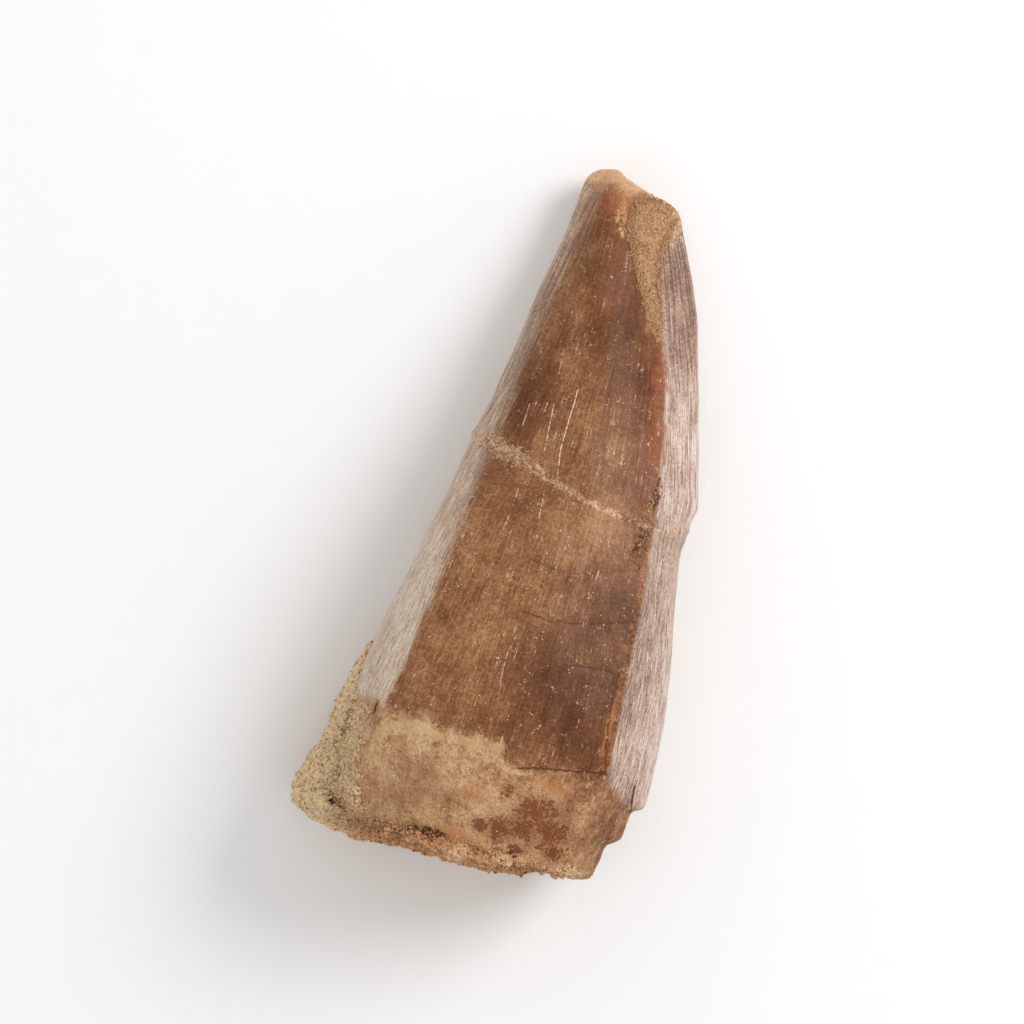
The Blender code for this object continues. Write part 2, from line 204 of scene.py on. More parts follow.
class Painter:
    """Builds the node tree of one finish, one node at a time."""

    def __init__(self, name: str) -> None:
        """Start an empty finish of this name."""
        self.finish = bpy.data.materials.new(name)
        self.finish.use_nodes = True
        self.tree = self.finish.node_tree

    def put(self, socket: Socket, value: object) -> None:
        """Link a socket, or set its number or colour.

        Args:
            socket: input to fill.
            value: an output socket, a number or a colour.
        """
        if isinstance(value, Socket):
            self.tree.links.new(value, socket)
        elif isinstance(value, tuple) and socket.type == "RGBA":
            socket.default_value = (*value, 1.0)
        else:
            socket.default_value = value

    def node(self, kind: str, *values: object, **settings: object) -> bpy.types.Node:
        """Add a node.

        Args:
            kind: its type, less what all types begin with.
            values: what goes into its first inputs.
            settings: its properties.

        Returns:
            The node.
        """
        node = self.tree.nodes.new(f"ShaderNode{kind}")
        for name, value in settings.items():
            setattr(node, name, value)
        for socket, value in zip(node.inputs, values):
            self.put(socket, value)
        return node

    def mark(self, mark: Mark) -> Socket:
        """Value that the skin carries under a mark's name."""
        node = self.node("Attribute", attribute_name=mark.value)
        return node.outputs["Vector" if mark is Mark.FLOW else "Fac"]

    def place(self) -> Socket:
        """Place on the object in millimetres."""
        return self.stretch(self.node("TexCoord").outputs["Object"], (1.0 / MM,) * 3)

    def stretch(self, vector: Socket, scale: tuple[float, ...]) -> Socket:
        """Vector with each part multiplied by a scale."""
        node = self.node("Mapping", vector)
        node.inputs["Scale"].default_value = scale
        return node.outputs["Vector"]

    def noise(self, vector: Socket, spacing: float, detail: float = 2.0, rough: float = 0.5) -> Socket:
        """Noise from 0 to 1.

        Args:
            vector: where it is read.
            spacing: size of its swells in the vector's unit.
            detail: number of finer layers.
            rough: strength of the finer layers.

        Returns:
            The noise value.
        """
        node = self.node("TexNoise", vector)
        for name, value in (("Scale", 1.0 / spacing), ("Detail", detail), ("Roughness", rough)):
            node.inputs[name].default_value = value
        return node.outputs["Fac"]

    def cells(self, vector: Socket, spacing: float) -> Socket:
        """Distance to the nearest of many scattered seeds."""
        node = self.node("TexVoronoi", vector)
        node.inputs["Scale"].default_value = 1.0 / spacing
        return node.outputs["Distance"]

    def math(self, operation: str, a: object, b: object = 0.0, clamp: bool = False) -> Socket:
        """One sum, product or other step on two values."""
        return self.node("Math", a, b, operation=operation, use_clamp=clamp).outputs["Value"]

    def product(self, *values: object) -> Socket:
        """Product of all the values."""
        return reduce(lambda total, value: self.math("MULTIPLY", total, value), values)

    def sum(self, *values: object) -> Socket:
        """Sum of all the values."""
        return reduce(lambda total, value: self.math("ADD", total, value), values)

    def swing(self, pattern: Socket, weight: float) -> Socket:
        """A pattern about its middle of one half, times a weight."""
        return self.math("MULTIPLY", self.math("SUBTRACT", pattern, 0.5), weight)

    def ragged(self, value: object, *layers: tuple[Socket, float]) -> Socket:
        """Value shifted up and down by (pattern, weight) layers, so that its steps are ragged."""
        return self.sum(value, *(self.swing(pattern, weight) for pattern, weight in layers))

    def step(self, value: object, low: float, high: float, top: float = 1.0) -> Socket:
        """Soft step of a value, from 0 at low to top at high, which may lie below low."""
        ends = (low, high, 0.0, top) if low <= high else (high, low, top, 0.0)
        return self.node("MapRange", value, *ends, interpolation_type="SMOOTHSTEP").outputs["Result"]

    def mix(self, factor: object, under: object, over: object, blend: str = "MIX") -> Socket:
        """Colour laid over another.

        Args:
            factor: how much of the upper colour shows.
            under: lower colour.
            over: upper colour.
            blend: way of blending.

        Returns:
            The mixed colour.
        """
        node = self.node("Mix", factor, data_type="RGBA", blend_type=blend)
        self.put(node.inputs[6], under)
        self.put(node.inputs[7], over)
        return node.outputs[2]

    def lay(self, under: object, *layers: tuple[Socket, object]) -> Socket:
        """Colour with (where, colour) layers laid over it in turn."""
        return reduce(lambda colour, layer: self.mix(layer[0], colour, layer[1]), layers, under)

    def ramp(self, value: Socket, *stops: tuple[float, Colour]) -> Socket:
        """Colour that runs through the (value, colour) stops."""
        node = self.node("ValToRGB", value)
        points = node.color_ramp.elements
        for place, _ in stops[2:]:
            points.new(place)
        for point, (place, colour) in zip(points, sorted(stops)):
            point.position = place
            point.color = (*colour, 1.0)
        return node.outputs["Color"]

    def bump(self, height: Socket, depth: float) -> Socket:
        """Normal bent by a fine relief of this real depth in millimetres."""
        node = self.node("Bump")
        node.inputs["Distance"].default_value = depth * MM
        self.put(node.inputs["Height"], height)
        return node.outputs["Normal"]

    def dress(self, **inputs: object) -> bpy.types.Material:
        """Fill the main shader's sockets, named with underscores, and return the finish."""
        for name, value in inputs.items():
            self.put(self.tree.nodes["Principled BSDF"].inputs[name.replace("_", " ")], value)
        return self.finish


class ToothPainter(Painter):
    """Painter with the tooth's patterns: grit to broad patches, and streaks along the tooth."""

    # How much coarser each pattern toward the tip is, and where it takes over from the one before.
    SLIMMER = ((1.6, -4.0, 6.0), (3.0, 12.0, 22.0))

    def __init__(self, name: str) -> None:
        """Lay out the patterns in an empty finish of this name."""
        super().__init__(name)
        self.spot = self.place()
        self.grit = self.noise(self.spot, 0.13, 1.0, 0.5)
        self.fine = self.noise(self.spot, 0.32, 3.0, 0.65)
        self.patchy = self.noise(self.spot, 0.9, 4.0, 0.7)
        self.medium = self.noise(self.spot, 1.9, 4.0, 0.6)
        self.broad = self.noise(self.spot, 6.0, 3.0, 0.5)
        self.flow = self.mark(Mark.FLOW)
        toward_tip = self.node("SeparateXYZ", self.flow).outputs["Y"]
        self.toward_tip = self.ragged(toward_tip, (self.noise(self.spot, 2.0), 8.0))
        self.striae = self.streak(0.15, 11.0, 1.0)
        self.streaks = self.streak(0.34, 9.0, 3.0)
        self.bands = self.streak(1.3, 14.0, 3.0)

    def streak(self, across: float, length: float, detail: float) -> Socket:
        """Lengthwise noise, kept as fine at the slim tip as at the base.

        Args:
            across: size of its swells across the tooth.
            length: how far it is drawn out along the tooth.
            detail: number of finer layers.

        Returns:
            The noise value.
        """
        drawn = self.stretch(self.flow, (1.0, 1.0 / length, 1.0))
        pattern = self.noise(drawn, across, detail, 0.6)
        for slimmer, start, end in self.SLIMMER:
            node = self.node("Mix", self.step(self.toward_tip, start, end))
            self.put(node.inputs[2], pattern)
            self.put(node.inputs[3], self.noise(drawn, across * slimmer, detail, 0.6))
            pattern = node.outputs[0]
        return pattern


@dataclass(frozen=True)
class EnamelFinish:
    """Glossy brown enamel with pale striated sides, pale partly by painted sheen, and the dull tan root
    under it.
    """

    front_dark: Colour = srgb(86, 52, 34)
    front_red: Colour = srgb(124, 80, 53)
    front_brown: Colour = srgb(146, 101, 68)
    front_tan: Colour = srgb(180, 136, 98)
    # The side colours are partly the enamel's own paler colour and partly painted sheen of the white
    # studio at grazing angles.
    side_dark: Colour = srgb(124, 94, 76)
    side_tan: Colour = srgb(180, 148, 122)
    side_pink: Colour = srgb(212, 186, 162)
    side_white_and_sheen: Colour = srgb(240, 222, 203)
    carina_side: Colour = (0.97, 1.0, 1.14)
    root_dark: Colour = srgb(110, 70, 46)
    root_brown: Colour = srgb(160, 114, 80)
    root_tan: Colour = srgb(192, 148, 108)
    root_pale: Colour = srgb(224, 194, 150)
    mauve: Colour = srgb(140, 92, 70)
    blotch: Colour = srgb(122, 64, 38)
    ochre: Colour = srgb(186, 124, 74)
    rust: Colour = srgb(152, 82, 48)
    pale: Colour = srgb(214, 178, 132)
    dark: Colour = srgb(76, 44, 28)
    white: Colour = srgb(240, 224, 200)
    tip_tan: Colour = srgb(230, 182, 138)
    sand: Colour = srgb(220, 180, 150)

    def make(self) -> bpy.types.Material:
        """Build the finish of the whole tooth.

        Returns:
            The material.
        """
        p = ToothPainter("fossil_enamel")
        side = p.step(p.ragged(p.mark(Mark.FRONT), (p.streaks, 0.5)), 0.2, -0.2)
        root = p.step(p.ragged(p.mark(Mark.ROOT), (p.medium, 2.4), (p.bands, 1.6)), -0.7, 0.6)
        colour = p.lay(
            self.front_colour(p), (side, self.side_colour_and_sheen(p)), (self.strip_inside_carina(p), self.ochre),
            (root, self.root_colour(p)), *self.marks(p), *self.lines(p))
        specks_and_glints = self.specks_and_glints(p)
        # White specks laid over the colour: painted glints in clusters, and white specks along the
        # mended break.
        colour = p.lay(colour, (p.product(specks_and_glints, 0.7), self.white))

        grooves = p.product(p.swing(p.striae, 1.0), p.sum(side, 0.30))
        worn = p.product(p.sum(root, p.mark(Mark.TIP)), 0.9)
        rough_parts = p.product(p.swing(p.grit, 1.0), p.sum(worn, 0.20))
        lumps = p.product(p.swing(p.fine, 1.0), p.sum(p.product(root, 1.1), 0.15))
        rough = p.sum(
            0.36, p.product(root, 0.28), p.product(side, 0.06), p.swing(p.streaks, 0.3),
            p.product(specks_and_glints, 0.2))
        return p.dress(
            Base_Color=colour, Roughness=rough, Specular_IOR_Level=0.16,
            Normal=p.bump(p.sum(grooves, rough_parts, lumps, 0.5), 0.10))

    def front_colour(self, p: ToothPainter) -> Socket:
        """Colour of the front face: brown, mottled and finely streaked.

        Args:
            p: the painter.

        Returns:
            The colour.
        """
        # Dark-and-shade patches darken the front: partly darker brown, partly painted shade, as beside
        # the facet and on the lamp-facing lower right.
        dark, bright = (p.ragged(p.mark(mark), (p.medium, 0.5)) for mark in (Mark.DARK, Mark.BRIGHT))
        tone = p.ragged(
            0.47, (p.broad, 0.60), (p.medium, 0.60), (p.bands, 0.30), (p.streaks, 0.35),
            (p.striae, 0.40), (p.fine, 0.62), (p.grit, 0.45))
        return p.ramp(
            p.sum(tone, p.product(dark, -0.29), p.product(bright, 0.13)), (0.04, self.front_dark),
            (0.38, self.front_red), (0.54, self.front_brown), (0.78, self.front_tan))

    def side_colour_and_sheen(self, p: ToothPainter) -> Socket:
        """Colour of the sides: pale, partly their own colour and partly painted sheen, with fine dark
        and white striae, pinker beside the carina.

        Args:
            p: the painter.

        Returns:
            The colour.
        """
        tone = p.ragged(
            0.63, (p.striae, 0.95), (p.streaks, 0.15), (p.bands, 0.15), (p.medium, 0.30), (p.fine, 0.55),
            (p.grit, 0.45), (p.broad, 0.20))
        # The painted-shade mark darkens patches of the sides: painted shade.
        colour = p.ramp(
            p.sum(tone, p.product(p.mark(Mark.SHADE), -0.38)), (0.20, self.side_dark),
            (0.44, self.side_tan), (0.62, self.side_pink), (0.85, self.side_white_and_sheen))
        x = p.node("SeparateXYZ", p.spot).outputs["X"]
        return p.mix(p.step(x, 0.0, 8.0), colour, self.carina_side, "MULTIPLY")

    def root_colour(self, p: ToothPainter) -> Socket:
        """Colour of the root: tan, mottled at every size, with dark red ragged blotches.

        Args:
            p: the painter.

        Returns:
            The colour.
        """
        tone = p.ragged(
            0.55, (p.broad, 0.35), (p.medium, 0.55), (p.patchy, 0.60), (p.fine, 0.60), (p.grit, 0.40),
            (p.bands, 0.25))
        # Dark-and-shade patches darken the root where they reach it: partly darker colour, partly
        # painted shade.
        colour = p.ramp(
            p.sum(tone, p.product(p.mark(Mark.DARK), -0.30)), (0.15, self.root_dark),
            (0.40, self.root_brown), (0.58, self.root_tan), (0.82, self.root_pale))
        blotch = p.ragged(p.mark(Mark.BLOTCH), (p.patchy, 2.2), (p.fine, 2.0))
        return p.lay(colour, (p.step(blotch, 0.38, 0.74, 0.88), self.blotch))

    def strip_inside_carina(self, p: ToothPainter) -> Socket:
        """Where the narrow ochre strip along the inner side of the carina shows.

        Args:
            p: the painter.

        Returns:
            The strength of the strip.
        """
        beside = p.ragged(p.mark(Mark.CARINA), (p.patchy, 0.35))
        breaks = p.step(p.ragged(p.patchy, (p.fine, 1.0)), 0.42, 0.74, 0.50)
        return p.product(p.step(beside, -0.75, -0.45), p.step(beside, 0.22, 0.0), breaks)

    def marks(self, p: ToothPainter) -> list[tuple[Socket, object]]:
        """Clouds and patches, and the worn tip.

        Args:
            p: the painter.

        Returns:
            Where each shows, and its colour.
        """
        crumbs = p.step(p.ragged(p.fine, (p.grit, 0.9)), 0.52, 0.34, 0.6)
        worn = p.mix(crumbs, self.tip_tan, self.front_tan)
        layers = (
            (Mark.CLOUD, self.mauve, 0.6, 0.30, 0.85, 0.45),
            (Mark.TIP, worn, 1.3, 0.30, 0.66, 0.85),
            (Mark.OCHRE, self.ochre, 0.9, 0.40, 0.85, 0.60),
            (Mark.PALE, self.pale, 1.0, 0.40, 0.85, 0.70),
            (Mark.RUST, self.rust, 2.2, 0.34, 0.90, 0.75),
            (Mark.SANDY, self.sand, 1.9, 0.44, 0.85, 0.60),
            (Mark.PIT, self.dark, 2.6, 0.62, 0.86, 0.85),
        )
        return [
            (p.step(p.ragged(p.mark(mark), (p.patchy, weight), (p.fine, weight / 2)), *ends), over)
            for mark, over, weight, *ends in layers
        ]

    def lines(self, p: ToothPainter) -> list[tuple[Socket, object]]:
        """The mended break, cracks and scratches, and short white dashes.

        Args:
            p: the painter.

        Returns:
            Where each shows, and its colour.
        """
        crack = self.line(p, Mark.CRACK, 0.55, 0.13, p.step(p.medium, 0.30, 0.50))
        scratch = self.line(p, Mark.SCRATCH, 0.12, 0.075, p.step(p.fine, 0.36, 0.56, 0.8))
        dashes = p.product(p.step(p.striae, 0.64, 0.74), p.step(p.patchy, 0.50, 0.62), 0.5)
        return [
            (self.mend(p), self.sand), (crack, self.dark), (scratch, self.white), (dashes, self.white)]

    def line(
        self, p: ToothPainter, mark: Mark, weight: float, width: float, breaks: Socket,
        core: float = 0.02,
    ) -> Socket:
        """Where a thin ragged line shows.

        Args:
            p: the painter.
            mark: mark that holds the distance from the line.
            weight: how ragged it is.
            width: distance at which it ends.
            breaks: pattern that breaks it up.
            core: distance up to which it is full.

        Returns:
            The strength of the line.
        """
        away = p.math("ABSOLUTE", p.ragged(p.mark(mark), (p.patchy, weight)))
        return p.product(p.step(away, width, core), p.mark(Mark[f"{mark.name}_FORCE"]), breaks)

    def mend(self, p: ToothPainter) -> Socket:
        """Where the crumbly filling of the mended break shows."""
        breaks = p.step(p.ragged(p.fine, (p.medium, 0.9)), 0.40, 0.62, 0.75)
        return self.line(p, Mark.MEND, 1.5, 0.40, breaks, 0.04)

    def specks_and_glints(self, p: ToothPainter) -> Socket:
        """Where fine white specks lie: painted glints in clusters, and white specks along the mended
        break.
        """
        dots = p.step(p.ragged(p.cells(p.spot, 0.26), (p.grit, 0.8)), 0.28, 0.12)
        return p.product(dots, p.math("ADD", p.step(p.patchy, 0.51, 0.65), self.mend(p), clamp=True))


@dataclass(frozen=True)
class SandFinish:
    """Rough packed sand, or its loose grains."""

    name: str
    tan: Colour = srgb(255, 225, 178)
    grey_green: Colour = srgb(240, 216, 160)
    brown: Colour = srgb(220, 180, 138)
    rust: Colour = srgb(208, 148, 102)
    rust_dark: Colour = srgb(144, 92, 60)
    cream: Colour = srgb(252, 238, 216)
    # Colour of painted shade in the hollows between grains and in low patches.
    gap: Colour = srgb(122, 80, 46)
    rim: Colour = srgb(234, 194, 150)
    grain: float = 0.28

    def make(self) -> bpy.types.Material:
        """Build the finish.

        Returns:
            The material.
        """
        p = Painter(self.name)
        place = p.place()
        fine = p.noise(place, 0.16, 2.0, 0.6)
        grains = p.cells(place, self.grain)
        patchy = p.noise(place, 0.8, 3.0, 0.65)
        medium = p.noise(place, 1.4, 4.0, 0.6)
        tone, rust = p.mark(Mark.TONE), p.mark(Mark.RUST)
        rusty = p.lay(
            self.rust, (p.step(p.ragged(tone, (patchy, 0.9)), 0.45, 0.15), self.rust_dark),
            (p.step(tone, 0.80, 1.0, 0.6), self.brown))
        colour = p.lay(
            self.tan,
            (p.step(p.ragged(p.mark(Mark.CLOUD), (medium, 0.9)), 0.35, 0.8, 0.65), self.grey_green),
            (p.step(medium, 0.5, 0.75, 0.5), self.brown),
            (p.step(tone, 0.75, 1.0, 0.6), self.cream),
            (p.step(tone, 0.30, 0.05, 0.7), self.brown),
            (p.step(rust, 0.05, 0.35, 0.85), self.rim),
            (p.step(p.ragged(rust, (medium, 1.0), (patchy, 1.2)), 0.35, 0.75, 0.85), rusty),
            # Painted shade and light that follow the bump: the gap colour darkens the hollows between
            # grains and the low patches, brown darkens the low fine bumps and cream lightens the high
            # ones.
            (p.step(p.ragged(grains, (fine, 0.5)), 0.48, 0.90, 0.58), self.gap),
            (p.step(patchy, 0.40, 0.26, 0.40), self.gap),
            (p.step(fine, 0.50, 0.34, 0.4), self.brown),
            (p.product(p.step(fine, 0.56, 0.74, 0.5), p.step(rust, 0.4, 0.05)), self.cream))
        relief = p.sum(p.product(grains, -0.9), p.product(fine, 0.7), p.product(patchy, 0.8), 0.9)
        return p.dress(
            Base_Color=colour, Roughness=p.sum(0.78, p.product(fine, 0.2)),
            Normal=p.bump(relief, 0.20), Specular_IOR_Level=0.25)


@dataclass(frozen=True)
class FloorFinish:
    """Matt white paper of the studio floor."""

    white: Colour = (0.925, 0.925, 0.925)
    shade: Colour = (0.91, 0.91, 0.91)

    def make(self) -> bpy.types.Material:
        """Build the finish.

        Returns:
            The material.
        """
        p = Painter("studio_floor")
        fibre = p.noise(p.place(), 3.0, 4.0, 0.6)
        return p.dress(Base_Color=p.mix(fibre, self.white, self.shade), Roughness=0.9)


def copy_of(node: str, name: str) -> Piece:
    """Copy of a solid with its loose triangles merged.

    Args:
        node: name of the solid.
        name: name of the copy.

    Returns:
        The new object, selected and active.
    """
    piece = bpy.data.objects.new(name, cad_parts[node].data.copy())
    piece.data.materials.clear()
    bpy.context.scene.collection.objects.link(piece)
    select(piece)
    bpy.ops.object.mode_set(mode="EDIT")
    bpy.ops.mesh.select_all(action="SELECT")
    bpy.ops.mesh.remove_doubles(threshold=0.01 * MM)
    bpy.ops.mesh.customdata_custom_splitnormals_clear()
    bpy.ops.mesh.mark_sharp(clear=True)
    bpy.ops.object.mode_set(mode="OBJECT")
    return piece


def select(piece: Piece) -> None:
    """Deselect everything, then select one piece and make it active."""
    bpy.ops.object.select_all(action="DESELECT")
    piece.select_set(True)
    bpy.context.view_layer.objects.active = piece


def apply(piece: Piece, kind: str, **settings: object) -> None:
    """Add a modifier of a kind with these settings to a piece and apply it."""
    select(piece)
    modifier = piece.modifiers.new(kind.lower(), kind)
    for name, value in settings.items():
        setattr(modifier, name, value)
    bpy.ops.object.modifier_apply(modifier=modifier.name)


def rows_of(layer: bpy.types.bpy_prop_collection, name: str) -> Array:
    """Rows of three numbers that a mesh holds under a property's name."""
    flat = np.empty(len(layer) * 3)
    layer.foreach_get(name, flat)
    return flat.reshape(-1, 3)


def corners(piece: Piece) -> Array:
    """Corners of a mesh as rows of x, y, z in metres."""
    return rows_of(piece.data.vertices, "co")


def normals_of(piece: Piece) -> Array:
    """Outward direction at each corner of a mesh."""
    return rows_of(piece.data.vertex_normals, "vector")


def move(piece: Piece, points: Array) -> None:
    """Put the corners of a mesh at new places."""
    piece.data.vertices.foreach_set("co", points.ravel())
    piece.data.update()


def carry(piece: Piece, mark: Mark, values: Array) -> None:
    """Store a value or a vector for each corner under a mark's name."""
    kind, name = ("FLOAT_VECTOR", "vector") if values.ndim == 2 else ("FLOAT", "value")
    piece.data.attributes.new(mark.value, kind, "POINT").data.foreach_set(name, values.ravel())


def measures(points: Array) -> tuple[Array, Array, Array]:
    """Places in metres as the tooth's own millimetres x, y from the base, and z."""
    return points[:, 0] / MM, (points[:, 1] - solid_box[0].y) / MM, points[:, 2] / MM


def report(piece: Piece) -> None:
    """Log a finished piece and its number of triangles."""
    count = sum(len(face.vertices) - 2 for face in piece.data.polygons)
    LOG.info("%s: %d triangles", piece.name, count)


@dataclass
class Tooth:
    """Crown and root stub: a fine tube drawn tight onto the solid, then worn and grooved."""

    columns: int = 330
    rows: int = 290
    core: float = 0.8
    slices: int = 40
    base_cap: tuple[float, float, float] = (0.13, 5.0, 12.0)
    tip_cap: tuple[float, float, float] = (0.09, 2.6, 2.6)
    face_share: float = 0.6
    smoothing: int = 10
    line_bends: int = 3
    unrolled: float = 12.0
    flute_side: float = 0.045
    flute_front: float = 0.014
    swell: float = 0.05
    root_rough: float = 0.12
    root_sink: float = 0.10
    mend_width: float = 0.32
    mend_rise: float = 0.07
    mend_rough: float = 0.20
    pit_depth: float = 0.16
    nick_width: float = 0.45
    nick_depth: float = 0.22
    crack_width: float = 0.14
    crack_depth: float = 0.07
    worn_rough: float = 0.07
    broken_rough: float = 0.34
    broken_sink: float = 0.08
    clear_of_floor: float = 0.02
    facet_edge: Curve = (
        (2, -9.2), (12.8, -8.8), (16, -8.0), (27.6, -6.8), (35, -6.0), (43, -5.0), (61, -3.0),
    )
    facet_softness: Curve = ((10, 0.9), (17, 1.2), (27, 3.0), (36, 4.5), (45, 5.5))
    carina: Curve = (
        (2, 10.8), (12.6, 11.0), (18, 10.6), (26.6, 10.0), (35.3, 9.1), (43.8, 7.4), (50, 5.3),
        (57, 3.1), (61, 2.4),
    )
    waist: Curve = ((2, 8.6), (20, 8.6), (35, 7.3), (50, 5.2), (61, 3.6))
    enamel_edge: Curve = (
        (-14, 12.6), (-8.8, 12.4), (-4, 12.2), (0, 12.1), (1.5, 11.3), (4, 10.5), (7.6, 11.2),
        (11, 11.8), (13, 9.5), (15, 9.2),
    )
    mend: Streak = Streak((
        (-11.0, 37.4), (-7.4, 36.6), (-6.0, 36.2), (-4.0, 35.7), (-2.0, 35.2), (0.0, 34.4), (3.0, 33.6),
        (6.0, 33.2), (9.0, 32.9), (14.0, 33.6),
    ))
    cracks: tuple[Streak, ...] = (
        Streak(((0.2, 27.6), (2.0, 27.3), (5.0, 27.6), (8.0, 28.9)), 0.45),
        Streak(((0.5, 23.2), (3.1, 23.0), (5.7, 23.5), (9.9, 24.8)), 0.7),
        Streak(((6.1, 20.0), (9.3, 20.2), (9.7, 18.0), (10.0, 15.6), (10.4, 13.4), (10.8, 11.7)), 0.8),
        Streak(((3.7, 10.4), (5.5, 10.9), (7.6, 11.2), (10.9, 11.8)), 0.9),
        Streak(((-9.35, 12.3), (-9.4, 11.6)), 1.0),
        Streak(((13.6, 11.2), (13.7, 10.0), (13.9, 9.0)), 1.0),
    )
    scratches: tuple[Streak, ...] = (
        Streak(((0.05, 42.4), (-0.07, 37.4), (0.3, 34.8)), 1.0),
        Streak(((-1.6, 40.6), (-1.35, 36.9)), 0.9),
        Streak(((-3.6, 40.2), (-3.7, 38.4)), 0.7),
        Streak(((-2.6, 33.4), (-2.7, 31.7)), 0.6),
        Streak(((-2.8, 30.7), (-2.95, 29.5)), 0.6),
        Streak(((-0.45, 33.3), (-0.3, 31.3)), 0.7),
        Streak(((0.45, 20.9), (0.1, 19.2), (0.2, 16.9)), 0.6),
        Streak(((0.9, 20.7), (0.8, 19.2)), 0.5),
        Streak(((-2.0, 45.5), (-1.9, 43.4)), 0.4),
        Streak(((2.6, 30.6), (2.5, 29.1)), 0.5),
    )

    def build(self) -> Piece:
        """Build and dress the skin of the tooth.

        Returns:
            The finished piece.
        """
        guide = copy_of("tooth", "tooth_guide")
        skin = self.draw_tight(guide)
        bpy.data.objects.remove(guide)
        self.add_relief(skin)
        self.add_marks(skin)
        skin.data.materials.append(EnamelFinish().make())
        select(skin)
        bpy.ops.object.shade_smooth()
        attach(skin, "root")
        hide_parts("tooth")
        report(skin)
        return skin

    def draw_tight(self, guide: Piece) -> Piece:
        """Thread a fine slim ball through the guide and swell it out to the guide's surface.

        Args:
            guide: copy of the solid.

        Returns:
            The tight skin, its flat faces smoothed away.
        """
        bpy.ops.object.select_all(action="DESELECT")
        bpy.ops.mesh.primitive_uv_sphere_add(
            segments=self.columns, ring_count=self.rows, radius=1.0, rotation=(-math.pi / 2, 0, 0))
        skin = bpy.context.active_object
        skin.name = "fossil_tooth"
        skin.data.name = "fossil_tooth"
        bpy.ops.object.transform_apply(location=False, rotation=True, scale=True)
        self.thread_through(skin, guide)
        apply(
            skin, "SHRINKWRAP", target=guide, wrap_method="PROJECT", use_negative_direction=False,
            use_positive_direction=True, cull_face="OFF")
        apply(skin, "SMOOTH", factor=0.5, iterations=self.smoothing)
        return skin

    def cap_bend(self, share: Array, depth: float, reach: float) -> Array:
        """Angle from the long axis at which each ring of an end looks outwards.

        Args:
            share: 0 at the pole, 1 where the end meets the tube.
            depth: distance of the ball's centre inside the end face.
            reach: half width of the end face, whose rings lie evenly.

        Returns:
            The angles, from 0 to a right angle.
        """
        rim = math.atan2(reach, depth)
        on_face = np.arctan2(share / self.face_share * reach, depth)
        past = (share - self.face_share) / (1 - self.face_share)
        return np.where(share < self.face_share, on_face, rim + past * (math.pi / 2 - rim))

    def thread_through(self, skin: Piece, guide: Piece) -> None:
        """Turn the ball into a slim tube with round ends along the middle of the guide.

        Args:
            skin: the ball, with its poles on the long axis.
            guide: copy of the solid.
        """
        solid = corners(guide)
        low, high = solid[:, 1].min(), solid[:, 1].max()
        places = np.linspace(low, high, self.slices)
        reach = 1.5 * (high - low) / self.slices
        middles = []
        for place in places:
            near = solid[np.abs(solid[:, 1] - np.clip(place, low + reach, high - reach)) < reach]
            middles.append((near.min(0) + near.max(0)) / 2)
        fit = np.polynomial.Polynomial.fit
        line_x, line_z = (fit(places, np.array(middles)[:, axis], self.line_bends) for axis in (0, 2))
        ball = corners(skin)
        turn = np.arctan2(ball[:, 2], ball[:, 0])
        ring = np.arccos(np.clip(-ball[:, 1], -1, 1)) / math.pi
        base_share, base_depth, base_reach = self.base_cap
        tip_share, tip_depth, tip_reach = self.tip_cap
        at_base = self.cap_bend(np.clip(ring / base_share, 0, 1), base_depth, base_reach)
        at_tip = self.cap_bend(np.clip((1 - ring) / tip_share, 0, 1), tip_depth, tip_reach)
        first, last = low + base_depth * MM, high - tip_depth * MM
        share = np.clip((ring - base_share) / (1 - base_share - tip_share), 0.0, 1.0)
        bend = np.minimum(at_base, at_tip)
        middle_y = first + share * (last - first)
        core = self.core * MM
        move(skin, np.stack([
            line_x(middle_y) + core * np.sin(bend) * np.cos(turn),
            middle_y + core * np.cos(bend) * np.where(ring < 0.5, -1.0, 1.0),
            line_z(middle_y) + core * np.sin(bend) * np.sin(turn),
        ], axis=1))
        x, z = self.unrolled * np.cos(turn), self.unrolled * np.sin(turn)
        carry(skin, Mark.FLOW, np.stack([x, middle_y / MM, z], axis=1))

    def front_gap(self, x: Array, y: Array, z: Array) -> Array:
        """How far inside the front face each place lies, negative on the sides and below."""
        from_facet = (x - along(self.facet_edge, y)) / along(self.facet_softness, y)
        from_carina = along(self.carina, y) - x
        below = smooth_step(z - along(self.waist, y), 0.6, -0.6)
        return np.minimum(from_facet, from_carina) * (1 - below) - 3.0 * below

    def upper(self, y: Array, z: Array) -> Array:
        """1 on the upper half of the tooth, 0 on the lower half."""
        return smooth_step(z - along(self.waist, y), -1.0, 1.0)

    def add_relief(self, skin: Piece) -> None:
        """Move the skin in and out: flutes, enamel edge, mended break, nicks and root pits."""
        points = corners(skin)
        x, y, z = measures(points)
        place = np.stack([x, y, z], axis=1)
        side = smooth_step(self.front_gap(x, y, z), 0.3, -0.3)
        edge = along(self.enamel_edge, x) - y
        root = smooth_step(edge + 0.6 * noise_at(place, 1.4, 3), -0.25, 0.25)
        upper = self.upper(y, z)
        marked = {mark: strongest(patches, x, y) for mark, patches in TOOTH_PATCHES.items()}

        flow = rows_of(skin.data.attributes[Mark.FLOW.value].data, "vector") * (1.0, 0.05, 1.0)
        height = noise_at(flow, 1.0, 2) * (self.flute_side * side + self.flute_front)
        worn = smooth_step(marked[Mark.TIP], 0.4, 0.8) * upper
        height += (
            self.swell * noise_at(place, 5.0, 3, 3.1)
            + self.worn_rough * worn * noise_at(place, 0.6, 3, 6.1))
        height += root * (self.root_rough * noise_at(place, 1.3, 4, 7.7) - self.root_sink)

